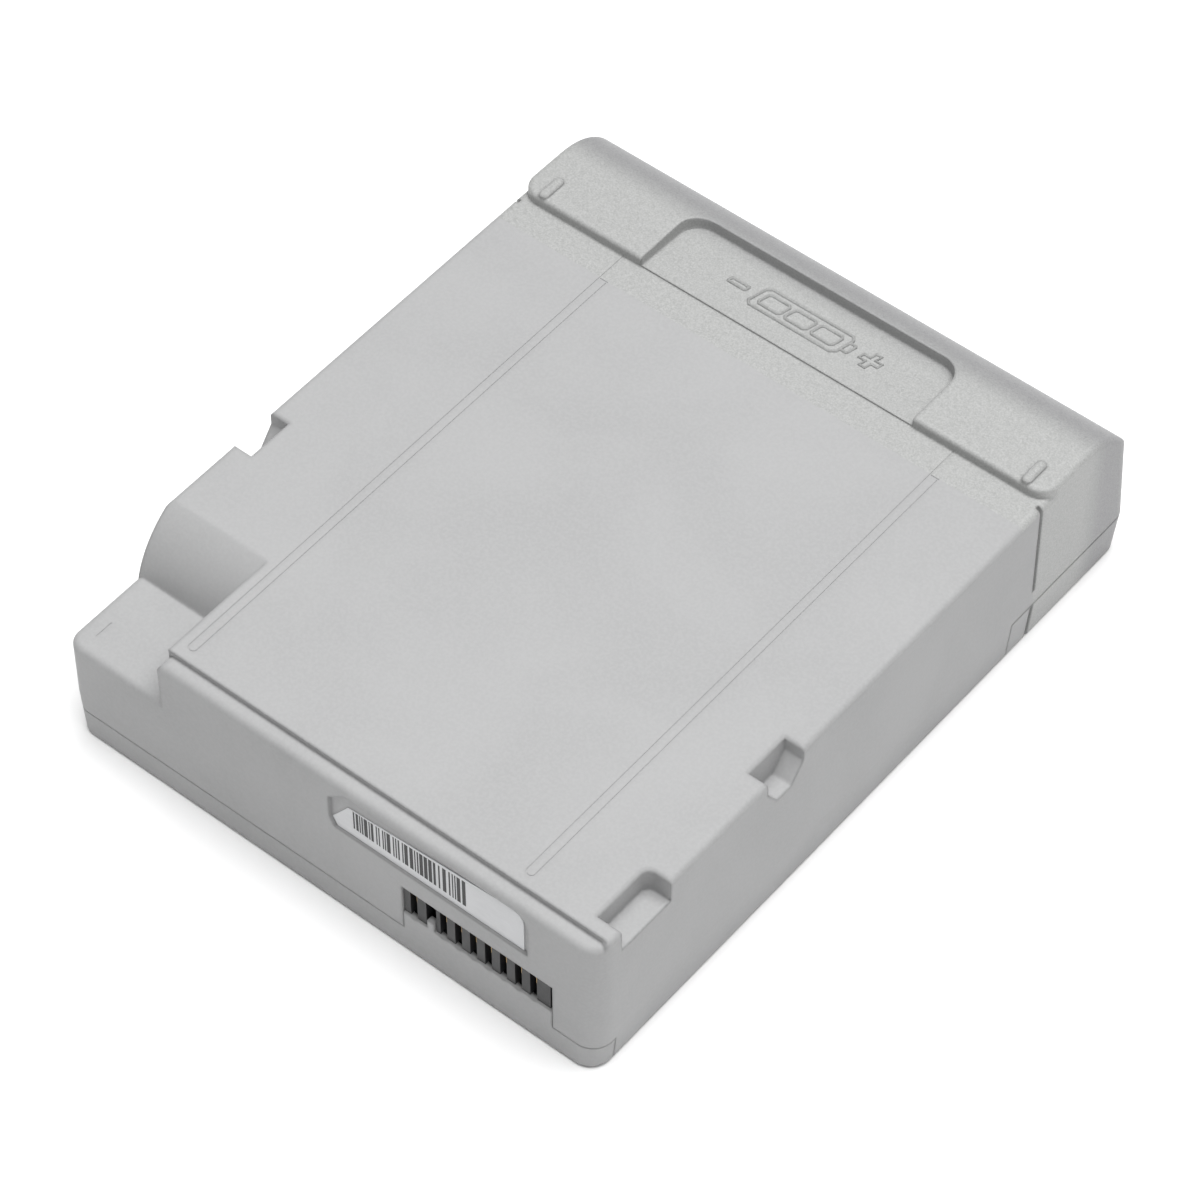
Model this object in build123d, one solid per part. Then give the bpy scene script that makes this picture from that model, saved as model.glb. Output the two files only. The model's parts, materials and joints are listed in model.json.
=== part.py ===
"""Laptop battery pack of four round cells. Millimetres. Everything is built from the front left
bottom corner (x to the right along the connector face, y towards the painted end, z up) and moved
to the middle of the base when it is written. The size of the case follows from its cells."""

import os

from build123d import *

# Cells
CELL_COUNT = 4
CELL_R = 9.2
CELL_LENGTH = 65.0
CELL_GAP = 0.2
CELL_CAP_R = 3.6
CELL_CAP_SIDES = 24
CELL_CAP_RISE = 0.9

# Walls, fits and the room round the cells
WALL = 1.6
THIN_WALL = 1.0
END_WALL = 2.6
FLOOR = 1.6
ROOF = 1.6
FIT = 0.1
OVER = 2.0
LEVEL_TOL = 0.02
TAPE_THICK = 0.15
ROOF_GAP = 0.25
SIDE_ROOM = 2.4
FRONT_BAY = 12.7
END_ROOM = 1.6

# Size of the case
CELL_PITCH = 2 * CELL_R + CELL_GAP
CELL_Y0 = WALL + FRONT_BAY + CELL_R
CELL_Y = [CELL_Y0 + CELL_PITCH * n for n in range(CELL_COUNT)]
CELL_Z = FLOOR + TAPE_THICK + CELL_R
CELL_X = (WALL + SIDE_ROOM, WALL + SIDE_ROOM + CELL_LENGTH)
WIDTH = CELL_LENGTH + 2 * (WALL + SIDE_ROOM)
LENGTH = CELL_Y[-1] + CELL_R + END_ROOM + END_WALL
TOP = CELL_Z + CELL_R + ROOF_GAP + ROOF
PAD_RISE = 1.35
PAD_TOP = TOP + PAD_RISE

# Outside rounding
NEAR_LEFT_R = 1.9
NEAR_RIGHT_R = 2.6
REAR_R = 2.2
BOTTOM_EDGE = 0.5
TOP_EDGE_R = 0.7
PAD_EDGE_R = 0.5
END_EDGE_R = 0.6
LEDGE_EDGE_R = 0.9
SIDE_BEVEL = 0.5
END_LEAN = 1.3
END_TUCK = 0.3
END_ROUND = 9.5

# Raised pads, finger recess and beads at the painted end
PAD_LENGTH = 17.3
PAD_Y = LENGTH - PAD_LENGTH
PAD_CORNER_R = 2.4
RECESS_LEFT = 17.6
RECESS_RIGHT = 17.8
RECESS_X0 = RECESS_LEFT
RECESS_X1 = WIDTH - RECESS_RIGHT
RECESS_END = 7.7
RECESS_Y1 = LENGTH - RECESS_END
RECESS_R = 3.0
RECESS_LIFT = 0.22
RECESS_DIP = 0.35
BEAD_IN = 3.1
BEAD_WIDTH = 1.2
BEAD_LENGTH = 3.7
BEAD_RISE = 0.45
BEAD_BEVEL = 0.2
BEAD_STEPS = 8

# Parting line between the two halves
PART_Z = 6.2
FRONT_PART_Z = 4.0
FRONT_BAR = 3.0
SPLIT_BACK = 4.4
SPLIT_Y = PAD_Y - SPLIT_BACK
SEAM = 0.16
SEAM_DEPTH = 0.3
FINE_SEAM = 0.1
FINE_SEAM_DEPTH = 0.04

# Front ledge below the top face
LEDGE_DROP = 0.7
LEDGE_DEPTH = 1.9

# Fine tracks on the top face and grooves beside the painted end
TRACK_LEFT = 15.0
TRACK_RIGHT = 12.3
TRACK_X = (TRACK_LEFT, WIDTH - TRACK_RIGHT)
TRACK_WIDTH = 1.25
TRACK_LINE = 0.16
TRACK_DEPTH = 0.07
TRACK_Y0 = 3.8
TICK_LENGTH = 4.2
TRACK_Y1 = PAD_Y - TICK_LENGTH
GROOVE_BACK = 0.75
GROOVE_Y = PAD_Y - GROOVE_BACK
GROOVE_WIDTH = 0.5
GROOVE_DEPTH = 0.7
GROOVE_RISE = 2.3
GROOVE_Z0 = PART_Z + GROOVE_RISE
SLOT_WIDTH = 0.6
SLOT_TOP = PART_Z - SEAM_DEPTH

# Cut-away corner with the shoulder round the first cell
CUT_X = 13.8
CUT_RISE = 3.75
CUT_Z = CELL_Z + CUT_RISE
CUT_EDGE_R = 0.8
SHOULDER_WALL = 3.3
SHOULDER_R = CELL_R + SHOULDER_WALL
SHOULDER_Z = CELL_Z + FIT
MARK_IN = 2.2
MARK_Y = (2.5, 4.8)

# Latch notches in the long sides
NOTCH_A_Y = (3.8, 11.6)
NOTCH_A_DEPTH = 3.1
NOTCH_A_DROP = 3.2
NOTCH_A_Z = TOP - NOTCH_A_DROP
NOTCH_A_R = 1.1
NOTCH_B_BACK = 3.9
NOTCH_B_LENGTH = 5.9
NOTCH_B_Y = (CELL_Y0 + NOTCH_B_BACK, CELL_Y0 + NOTCH_B_BACK + NOTCH_B_LENGTH)
NOTCH_B_DEPTH = 2.5
NOTCH_B_WALL = 1.9
NOTCH_B_DROP = 4.3
NOTCH_B_NEAR_RUN = 1.6
NOTCH_B_FAR_RUN = 1.9
NOTCH_BEVEL = 0.3

# Circuit board
POST_TALL = 1.4
BOARD_Z = FLOOR + POST_TALL
BOARD_THICK = 1.0
BOARD_GAP = 1.0
BOARD_TOP = BOARD_Z + BOARD_THICK
BOARD_X = CELL_X
BOARD_Y = (WALL + BOARD_GAP, WALL + FRONT_BAY - BOARD_GAP)
POST_HALF = 1.5
POST_COUNT = 2
POST_IN = 3.0

# Connector
SLOTS = 9
SLOT_PITCH = 2.0
FIRST_SLOT = 1.45
LAST_SLOT = 2.65
BLADE_SLOT = 0.9
KEY_INDEX = 1
KEY_WIDTH = 1.35
KEY_SHIFT = 0.35
WINDOW_IN = 6.0
WINDOW_WIDTH = FIRST_SLOT + SLOT_PITCH * (SLOTS - 1) + LAST_SLOT
WINDOW_X = (WIDTH - WINDOW_IN - WINDOW_WIDTH, WIDTH - WINDOW_IN)
WINDOW_RISE = 7.0
WINDOW_TOP = BOARD_TOP + WINDOW_RISE
TONGUE_RISE = 2.7
TONGUE_TOP = FRONT_PART_Z + TONGUE_RISE
TONGUE_THICK = 0.75
KEY_RISE = 1.3
SCALLOP_R = 0.72
SCALLOP_LIFT = 0.45
SCALLOP_SIDES = 12
NOSE_Y = 2 * FIT
NOSE_GAP = 0.4
UNDER_Y = TONGUE_THICK + 2 * FIT
CONNECTOR_ROOM = 5.1
CONNECTOR_DEPTH = FRONT_BAY - CONNECTOR_ROOM
CONNECTOR_BACK = UNDER_Y + CONNECTOR_DEPTH
CONTACT_THICK = 0.3
CONTACT_TALL = 1.7
CONTACT_IN = 0.3
SLOT_Z0 = BOARD_TOP + THIN_WALL
FLANGE = 0.7
TAIL = 0.9

# Label recess and label on the front
LABEL_RIGHT = 9.2
LABEL_LENGTH = 26.5
LABEL_X = (WIDTH - LABEL_RIGHT - LABEL_LENGTH, WIDTH - LABEL_RIGHT)
LABEL_DROP = 1.9
LABEL_TALL = 6.4
LABEL_Z = (TOP - LABEL_DROP - LABEL_TALL, TOP - LABEL_DROP)
LABEL_DEPTH = 0.4
LABEL_TIP = (2.4, 1.9)
LABEL_FOOT = (0.6, 1.2)
LABEL_BEND_R = 1.9
STICKER_INSET = 0.25
STICKER_END = 0.65
STICKER_TIP = 2.2
STICKER_SLOPE = 1.75
STICKER_BEND_R = 1.6
STICKER_THICK = 0.12

# Link strips, papers, cards, tapes and foam
STRIP_THICK = 0.15
STRIP_WIDTH = 8.0
CARD_THICK = 0.3
CARD_HOLE_R = 4.4
CARD_HOLE_SIDES = 12
CARD_HALF = 5.4
PAPER_THICK = 0.25
PAPER_MARGIN = 1.75
LEAD_WIDTH = 4.0
LEAD_DROP = 2.35
LEAD_Z = CELL_Z - LEAD_DROP
TAB_WIDTH = 3.0
TAB_BACK = 0.7
TAB_Y = (BOARD_Y[1] - TAB_BACK - TAB_WIDTH, BOARD_Y[1] - TAB_BACK)
PAPER_Y0 = TAB_Y[0] - THIN_WALL
LEAD_BACK = 0.8
LEAD_Y = (PAPER_Y0 - LEAD_BACK - TAB_WIDTH, PAPER_Y0 - LEAD_BACK)
PAPER_BACK = 6.1
PAPER_Y1 = CELL_Y[CELL_COUNT // 2] - STRIP_WIDTH / 2 - PAPER_BACK
FUSE_LENGTH = 11.0
FUSE_THICK = 1.2
FUSE_TAB = 3.0
FUSE_INSET = 0.5
FUSE_BACK = 3.6
FUSE_Y1 = PAPER_Y1 - FUSE_BACK
FOOT = 2.4
TAPE_WIDTH = 5.0
TAPE_INSET = 6.0
FOAM_IN = 12.0
FOAM_HALF = 4.0
FOAM_DEPTH = END_ROOM + THIN_WALL

# Pieces on the board, placed along its free length to the left of the connector
FREE_LENGTH = WINDOW_X[0] - FLANGE - BOARD_X[0]
CHARGE_SHARE = 0.178
DISCHARGE_SHARE = 0.344
PROTECTION_SHARE = 0.51
GAUGE_SHARE = 0.723
CHIP_FUSE_SHARE = 0.9
CAPACITOR_SHARES = (0.51, 0.592, 0.867, 0.948)
CHIP_TALL = 1.1
LEG_HALF = 0.17
LEG_REACH = 0.8
LEG_THICK = 0.3
GAUGE = (6.6, 4.4)
GAUGE_LEG_COUNT = 8
PROTECTION = (3.0, 2.8)
PROTECTION_LEG_COUNT = 4
TRANSISTOR = (4.9, 3.9)
TRANSISTOR_LEG_COUNT = 4
CHIP_FUSE = (3.2, 2.5, 0.9)
SENSE = (6.4, 3.2, 0.7)
CAPACITOR = (2.0, 1.25, 1.0)
BEAD_R = 1.0
BEAD_SIDES = 12
LEAD_HALF = 0.2
THERMISTOR_IN = 16.0

# Ribs inside the case
RIB_COUNT = 2
RIB_IN = 9.0
RIB_THICK = 1.4
RIB_HALF = 3.4
RIB_TALL = 3.8
RIB_TOP = FLOOR + RIB_TALL
SIDE_RIB_RISE = 2.45
SIDE_RIB_Z = CELL_Z + SIDE_RIB_RISE


def block(x0, x1, y0, y1, z0, z1):
    """A box between two corners."""
    return Pos((x0 + x1) / 2, (y0 + y1) / 2, (z0 + z1) / 2) * Box(x1 - x0, y1 - y0, z1 - z0)


def along_x(points, x0, x1):
    """A (y, z) outline carried along x."""
    plane = Plane(origin=(x0, 0, 0), x_dir=(0, 1, 0), z_dir=(1, 0, 0))
    return extrude(plane * Polygon(*points, align=None), x1 - x0, dir=plane.z_dir)


def along_y(face, y0, y1):
    """An (x, z) face carried along y."""
    plane = Plane(origin=(0, y1, 0), x_dir=(1, 0, 0), z_dir=(0, -1, 0))
    return extrude(plane * face, y1 - y0, dir=plane.z_dir)


def upright(face, height):
    """A flat outline carried upwards."""
    return extrude(face, height, dir=(0, 0, 1))


def rod_x(x0, x1, y, z, r):
    """A round bar along x."""
    plane = Plane(origin=(x0, y, z), x_dir=(0, 1, 0), z_dir=(1, 0, 0))
    return extrude(plane * Circle(r), x1 - x0)


def rounded(points, radii):
    """A flat outline with each corner rounded by its own radius, where that isn't 0."""
    face = make_face(Polyline(*points, close=True).edges())
    for point, radius in zip(points, radii):
        if radius > 0:
            corner = face.vertices().sort_by_distance((point[0], point[1], 0))[0]
            face = fillet(corner, radius)
    return face


def case_plan(inset_x=0.0, front=0.0, rear=LENGTH, shrink=0.0):
    """The case seen from above, in from its walls by the given amounts."""
    left, right = inset_x, WIDTH - inset_x
    points = [(left, front), (right, front), (right, rear), (left, rear)]
    radii = [max(r - shrink, THIN_WALL / 2) for r in (NEAR_LEFT_R, NEAR_RIGHT_R, REAR_R, REAR_R)]
    return rounded(points, radii)


def spread(count, first, last):
    """Places from first to last at even steps."""
    return [first + (last - first) * n / (count - 1) for n in range(count)]


def both_sides(shape):
    """A feature of the left side together with its twin on the right."""
    return shape + Pos(WIDTH, 0, 0) * mirror(shape, Plane.YZ)


def end_axis():
    """The place, in y and z, of the axis that the far top edge rolls over."""
    z = PAD_TOP - END_ROUND
    return LENGTH - END_LEAN * (z - PART_Z) / (PAD_TOP - PART_Z) - END_ROUND, z


def case_hull():
    """The outside of the closed case before any feature."""
    edge = BOTTOM_EDGE
    foot = case_plan(SIDE_BEVEL + edge, edge, LENGTH - END_TUCK - edge, edge)
    low = Pos(0, 0, edge) * case_plan(SIDE_BEVEL, rear=LENGTH - END_TUCK)
    middle = Pos(0, 0, PART_Z) * case_plan()
    lean = Vector(0, -END_LEAN, PAD_TOP - PART_Z)
    body = upright(Pos(0, 0, PART_Z) * case_plan(rear=LENGTH + REAR_R + OVER), lean.Z)
    body &= extrude(Pos(0, 0, PART_Z) * case_plan(front=-NEAR_RIGHT_R - OVER), lean.length, dir=lean)
    return loft([foot, low], ruled=True) + loft([low, middle], ruled=True) + body


def pad_plan():
    """The raised pads seen from above, before the finger recess is taken out."""
    far = LENGTH + OVER
    points = [(0, PAD_Y), (WIDTH, PAD_Y), (WIDTH, far), (0, far)]
    return rounded(points, [PAD_CORNER_R, PAD_CORNER_R, OVER / 2, OVER / 2])


def finger_recess():
    """The hollow between the pads, with a floor that dips towards its far wall."""
    near = PAD_Y - OVER
    points = [(RECESS_X0, near), (RECESS_X1, near), (RECESS_X1, RECESS_Y1), (RECESS_X0, RECESS_Y1)]
    hollow = upright(rounded(points, [OVER / 4, OVER / 4, RECESS_R, RECESS_R]), PAD_TOP + OVER)
    floor = [
        (near, TOP + RECESS_LIFT),
        (PAD_Y, TOP + RECESS_LIFT),
        (RECESS_Y1, TOP - RECESS_DIP),
        (RECESS_Y1 + OVER, TOP - RECESS_DIP),
        (RECESS_Y1 + OVER, PAD_TOP + OVER),
        (near, PAD_TOP + OVER),
    ]
    return hollow & along_x(floor, RECESS_X0 - OVER, RECESS_X1 + OVER)


def corner_cut(wall=0.0):
    """The space of the cut-away corner, which leaves a shoulder round the first cell."""
    space = block(-OVER, CUT_X + wall, -OVER, CELL_Y0, CUT_Z - wall, PAD_TOP + OVER)
    return space - rod_x(-2 * OVER, WIDTH, CELL_Y0, SHOULDER_Z, SHOULDER_R - wall)


def notch_a(wall=0.0):
    """The square latch notch near the front, on the right."""
    x0, x1 = WIDTH - NOTCH_A_DEPTH - wall, WIDTH + OVER
    y0, y1 = NOTCH_A_Y[0] - wall, NOTCH_A_Y[1] + wall
    plan = rounded([(x0, y0), (x1, y0), (x1, y1), (x0, y1)], [0, 0, 0, NOTCH_A_R])
    return upright(Pos(0, 0, NOTCH_A_Z - wall) * plan, PAD_TOP)


def notch_b(wall=0.0):
    """The latch notch of the left side, with ends that slope down to a short floor."""
    y0, y1 = NOTCH_B_Y[0] - wall, NOTCH_B_Y[1] + wall
    high, low = PAD_TOP + OVER, TOP - NOTCH_B_WALL - wall
    floor = TOP - NOTCH_B_DROP - wall
    profile = [
        (y0, high),
        (y0, low),
        (y0 + NOTCH_B_NEAR_RUN, floor),
        (y1 - NOTCH_B_FAR_RUN, floor),
        (y1, low),
        (y1, high),
    ]
    return along_x(profile, -OVER, NOTCH_B_DEPTH + wall)


def notch_rim(x0, x1, y0, y1, radius=0.0):
    """The bevel round the mouth of a notch, with one corner rounded."""
    layers = []
    for grow in (0, 2 * NOTCH_BEVEL):
        left, right, near, far = x0 - grow, x1 + grow, y0 - grow, y1 + grow
        corners = [(left, near), (right, near), (right, far), (left, far)]
        plan = rounded(corners, [0, 0, 0, radius + grow if radius > 0 else 0])
        layers.append(Pos(0, 0, TOP - NOTCH_BEVEL + grow) * plan)
    return loft(layers, ruled=True)


def label_recess():
    """The label's recess seen from the front, with a slanted tip."""
    (x0, x1), (z0, z1) = LABEL_X, LABEL_Z
    points = [
        (x0, z0 + LABEL_FOOT[1]),
        (x0 + LABEL_FOOT[0], z0),
        (x1, z0),
        (x1, z1),
        (x0 + LABEL_TIP[0], z1),
        (x0, z1 - LABEL_TIP[1]),
    ]
    return rounded(points, [0, 0, 0, LABEL_BEND_R, 0, 0])


def sticker_face():
    """The label seen from the front, lower at its slanted left end than at its right end."""
    x0, x1 = LABEL_X[0] + STICKER_INSET, LABEL_X[1] - STICKER_END
    z0, z1 = LABEL_Z[0] + FIT, LABEL_Z[1] - STICKER_INSET
    points = [
        (x0, z0 + LABEL_FOOT[1]),
        (x0 + LABEL_FOOT[0], z0),
        (x1, z0),
        (x1, z1),
        (x0 + STICKER_TIP, z1 - STICKER_SLOPE),
    ]
    return rounded(points, [0, 0, 0, STICKER_BEND_R, 0])


def track(x, inset):
    """One long track with a round front end, in from its edges by the inset."""
    r = TRACK_WIDTH / 2 - inset
    middle = x + TRACK_WIDTH / 2
    low = TOP - TRACK_DEPTH
    space = block(middle - r, middle + r, TRACK_Y0, TRACK_Y1 - inset, low, TOP + OVER)
    return space + upright(Pos(middle, TRACK_Y0, low) * Circle(r), TRACK_DEPTH + OVER)


def tracks():
    """Fine grooves round the tracks of the top face, and the tick that carries each one on."""
    cut = None
    for x in TRACK_X:
        line = track(x, 0) - track(x, TRACK_LINE)
        line += block(x, x + TRACK_LINE, TRACK_Y1, PAD_Y, TOP - TRACK_DEPTH, TOP + OVER / 4)
        cut = line if cut is None else cut + line
    return cut


def beads():
    """Small raised bars on the pads, with round ends and bevelled tops."""
    bars = None
    half = (BEAD_LENGTH - BEAD_WIDTH) / 2
    turns = [180 * n / BEAD_STEPS for n in range(BEAD_STEPS + 1)]
    end = [Vector(BEAD_WIDTH / 2, 0).rotate(Axis.Z, turn) + Vector(0, half) for turn in turns]
    plan = Polygon(*end, *[point * -1 for point in end], align=None)
    y = PAD_Y + FIT + BEAD_LENGTH / 2
    for x in (BEAD_IN, WIDTH - BEAD_IN):
        bar = upright(Pos(x, y, TOP) * plan, PAD_RISE + BEAD_RISE)
        bar = chamfer(bar.faces().sort_by(Axis.Z)[-1].edges(), BEAD_BEVEL)
        bars = bar if bars is None else bars + bar
    return bars


def end_section(y, z0, radius):
    """A slice across the painted end from the height z0 up, with its upper corners rounded."""
    plane = Plane(origin=(0, y, z0), x_dir=(1, 0, 0), z_dir=(0, -1, 0))
    tall = PAD_TOP - z0
    return plane * rounded([(0, 0), (WIDTH, 0), (WIDTH, tall), (0, tall)], [0, 0, radius, radius])


def pad_envelope():
    """The space that the painted end may fill, with soft edges that widen and roll over the end."""
    end_y, end_z = end_axis()
    split = PAD_Y + PAD_CORNER_R + THIN_WALL
    near = upright(pad_plan(), PAD_TOP)
    near = fillet(near.faces().sort_by(Axis.Z)[-1].edges(), PAD_EDGE_R)
    near &= block(-OVER, WIDTH + OVER, 0, split, -OVER, PAD_TOP + OVER)
    slices = [end_section(split, 0, PAD_EDGE_R), end_section(end_y, 0, END_EDGE_R)]
    roll = revolve(end_section(end_y, end_z, END_EDGE_R), Axis((0, end_y, end_z), (1, 0, 0)), -90)
    far = block(-OVER, WIDTH + OVER, end_y, LENGTH + OVER, -OVER, end_z)
    return near + loft(slices, ruled=True) + roll + far


def level_edges(shape, z, y_most):
    """Edges that lie flat at one height and start before y_most."""
    found = []
    for edge in shape.edges():
        box = edge.bounding_box()
        if max(abs(box.min.Z - z), abs(box.max.Z - z)) < LEVEL_TOL and box.min.Y < y_most:
            found.append(edge)
    return found


def side_groove():
    """The upright groove in front of the painted end on the left, and the slot below it."""
    half, wide = GROOVE_WIDTH / 2, SLOT_WIDTH / 2
    groove = block(-OVER, GROOVE_DEPTH, GROOVE_Y - half, GROOVE_Y + half, GROOVE_Z0, TOP + OVER)
    return groove + block(
        -OVER, GROOVE_DEPTH + SIDE_BEVEL, GROOVE_Y - wide, GROOVE_Y + wide, -OVER, SLOT_TOP
    )


def case_outside():
    """The closed case as one block with every outside feature."""
    hull = case_hull()
    base_end = PAD_Y + PAD_CORNER_R + THIN_WALL
    base = hull & block(-OVER, WIDTH + OVER, -OVER, base_end, -OVER, TOP)
    base = fillet(level_edges(base, TOP, base_end - FIT), TOP_EDGE_R)
    case = base + (hull & pad_envelope()) - finger_recess()
    ledge_z = TOP - LEDGE_DROP
    case -= block(-OVER, WIDTH + OVER, -OVER, LEDGE_DEPTH, ledge_z, TOP + OVER)
    case -= corner_cut()
    case = fillet(level_edges(case, ledge_z, LEDGE_DEPTH - FIT), LEDGE_EDGE_R)
    rim = level_edges(case, CUT_Z, CELL_Y0)
    case = fillet([e for e in rim if min(e.center().X, e.center().Y) < CUT_EDGE_R], CUT_EDGE_R)
    case -= notch_a() + notch_rim(WIDTH - NOTCH_A_DEPTH, WIDTH + OVER, *NOTCH_A_Y, NOTCH_A_R)
    case -= both_sides(notch_b() + notch_rim(-OVER, NOTCH_B_DEPTH, *NOTCH_B_Y))
    case -= tracks()
    case += beads()
    case -= along_y(label_recess(), -OVER, LABEL_DEPTH)
    case -= block(*WINDOW_X, -OVER, 2 * WALL, FRONT_PART_Z, WINDOW_TOP)
    case -= both_sides(side_groove())
    mark = block(MARK_IN, MARK_IN + TRACK_LINE, *MARK_Y, CUT_Z - TRACK_DEPTH, CUT_Z + OVER)
    return case - mark


def case_inside(z0):
    """The hollow of the case above the height z0."""
    plan = case_plan(WALL, WALL, LENGTH - END_WALL, WALL)
    hollow = upright(Pos(0, 0, z0) * plan, TOP - ROOF - z0)
    end_y, end_z = end_axis()
    corner = block(-OVER, WIDTH + OVER, end_y, LENGTH + OVER, end_z, PAD_TOP + OVER)
    hollow -= corner - rod_x(-OVER, WIDTH + OVER, end_y, end_z, END_ROUND - WALL)
    hollow -= corner_cut(WALL)
    hollow -= notch_a(THIN_WALL)
    hollow -= both_sides(notch_b(THIN_WALL))
    return hollow


def cells_space(clear):
    """The room that the four cells take up, with some clearance."""
    space = None
    for y in CELL_Y:
        rod = rod_x(0, WIDTH, y, CELL_Z, CELL_R + clear)
        space = rod if space is None else space + rod
    return space


def lower_zone(gap):
    """The space of the lower half, which is a rear tray, a front bar and the floor between them."""
    zone = block(-OVER, WIDTH + OVER, SPLIT_Y - gap, LENGTH + OVER, -OVER, PART_Z)
    zone += block(-OVER, WIDTH + OVER, -OVER, FRONT_BAR + gap, -OVER, FRONT_PART_Z)
    inset = WALL + FIT - gap
    return zone + block(inset, WIDTH - inset, FRONT_BAR - OVER, SPLIT_Y + OVER, -OVER, FLOOR)


def seam_groove():
    """The groove that shows along the parting line, plain at the painted end and fine at the front."""
    deep, fine = SEAM_DEPTH, FINE_SEAM_DEPTH
    rear = block(-OVER, WIDTH + OVER, SPLIT_Y - OVER, LENGTH + OVER, PART_Z - SEAM, PART_Z)
    rear -= upright(case_plan(deep, deep, LENGTH - deep, deep), PART_Z)
    front_z = (FRONT_PART_Z - FINE_SEAM, FRONT_PART_Z)
    front = block(-OVER, WIDTH + OVER, -OVER, FRONT_BAR + OVER, *front_z)
    lean = SIDE_BEVEL * (PART_Z - FRONT_PART_Z) / (PART_Z - BOTTOM_EDGE)
    return rear + (front - upright(case_plan(lean + fine, fine, LENGTH, fine), PART_Z))


def slot_x(n):
    """Middle of a connector slot. The key's slot is out of step."""
    return WINDOW_X[0] + FIRST_SLOT + SLOT_PITCH * n + (KEY_SHIFT if n == KEY_INDEX else 0)


def tongue():
    """The lip of the lower half below the connector, scalloped below each slot, with its key tooth."""
    x0, x1 = WINDOW_X[0] + FIT, WINDOW_X[1] - FIT
    lip = block(x0, x1, 0, TONGUE_THICK, FRONT_PART_Z - SEAM, TONGUE_TOP)
    for n in live_slots():
        scallop = Pos(slot_x(n), TONGUE_TOP + SCALLOP_LIFT) * RegularPolygon(SCALLOP_R, SCALLOP_SIDES)
        lip -= along_y(scallop, -OVER, TONGUE_THICK + OVER)
    x, half = slot_x(KEY_INDEX), BLADE_SLOT / 2
    return lip + block(x - half, x + half, 0, TONGUE_THICK, TONGUE_TOP - SEAM, TONGUE_TOP + KEY_RISE)


def cradle_ribs():
    """Curved ribs on the floor that keep the cells apart."""
    ribs = None
    for n in range(CELL_COUNT + 1):
        y = CELL_Y0 + CELL_PITCH * (n - 0.5)
        y0, y1 = max(y - RIB_HALF, BOARD_Y[1] + FIT), min(y + RIB_HALF, LENGTH - END_WALL)
        for x in spread(RIB_COUNT, CELL_X[0] + RIB_IN, CELL_X[1] - RIB_IN - RIB_THICK):
            rib = block(x, x + RIB_THICK, y0, y1, FLOOR - SEAM, RIB_TOP)
            ribs = rib if ribs is None else ribs + rib
    return ribs - cells_space(FIT)


def board_posts():
    """Posts on the floor that carry the circuit board."""
    posts = None
    for x in spread(POST_COUNT, BOARD_X[0] + POST_IN, BOARD_X[1] - POST_IN):
        for y in (BOARD_Y[0] + POST_HALF, BOARD_Y[1] - POST_HALF):
            sides = (x - POST_HALF, x + POST_HALF, y - POST_HALF, y + POST_HALF)
            post = block(*sides, FLOOR - SEAM, BOARD_Z)
            posts = post if posts is None else posts + post
    return posts


def side_ribs():
    """Upright ribs in the upper half that hold the cell pack endways."""
    ribs = None
    depth = CELL_X[0] - STRIP_THICK - PAPER_THICK
    for y in CELL_Y[1:]:
        y0, y1 = y - RIB_THICK / 2, y + RIB_THICK / 2
        rib = block(WALL - FIT, depth, y0, y1, SIDE_RIB_Z, TOP - ROOF + FIT)
        ribs = rib if ribs is None else ribs + rib
    return both_sides(ribs)


def upper_case(outside):
    """The upper half, open below, with its side ribs."""
    return outside - case_inside(-OVER) - lower_zone(FIT) + side_ribs()


def lower_case(outside):
    """The lower half with the lip below the connector, the posts and the cradle ribs."""
    half = (outside & lower_zone(0)) - case_inside(FLOOR) - seam_groove()
    return half + tongue() + cradle_ribs() + board_posts()


def bar_label():
    """The paper label in its recess."""
    return along_y(sticker_face(), LABEL_DEPTH - STICKER_THICK, LABEL_DEPTH)


def connector_body():
    """The slotted socket, with a nose that stands in the window and feet on the board."""
    x0, x1 = WINDOW_X[0] + FIT, WINDOW_X[1] - NOSE_GAP
    back = CONNECTOR_BACK
    body = block(x0, x1, NOSE_Y, WALL + OVER, TONGUE_TOP + FIT, WINDOW_TOP - FIT)
    body += block(x0, x1, UNDER_Y, WALL + OVER, BOARD_TOP + FIT, WINDOW_TOP - FIT)
    body += block(x0 - FLANGE, x1, WALL + FIT, back, BOARD_TOP, WINDOW_TOP + FLANGE)
    for n in range(SLOTS):
        half = (KEY_WIDTH if n == KEY_INDEX else BLADE_SLOT) / 2
        x = slot_x(n)
        body -= block(x - half, x + half, -OVER, back - THIN_WALL, SLOT_Z0, WINDOW_TOP - FIT)
    for n in live_slots():
        x = slot_x(n) + BLADE_SLOT / 2
        depth = (back - THIN_WALL - OVER, back + OVER)
        body -= block(x - CONTACT_THICK, x, *depth, 0, SLOT_Z0 + CONTACT_TALL)
    return body


def live_slots():
    """Slots that hold a contact, which is all but the key."""
    return [n for n in range(SLOTS) if n != KEY_INDEX]


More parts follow.
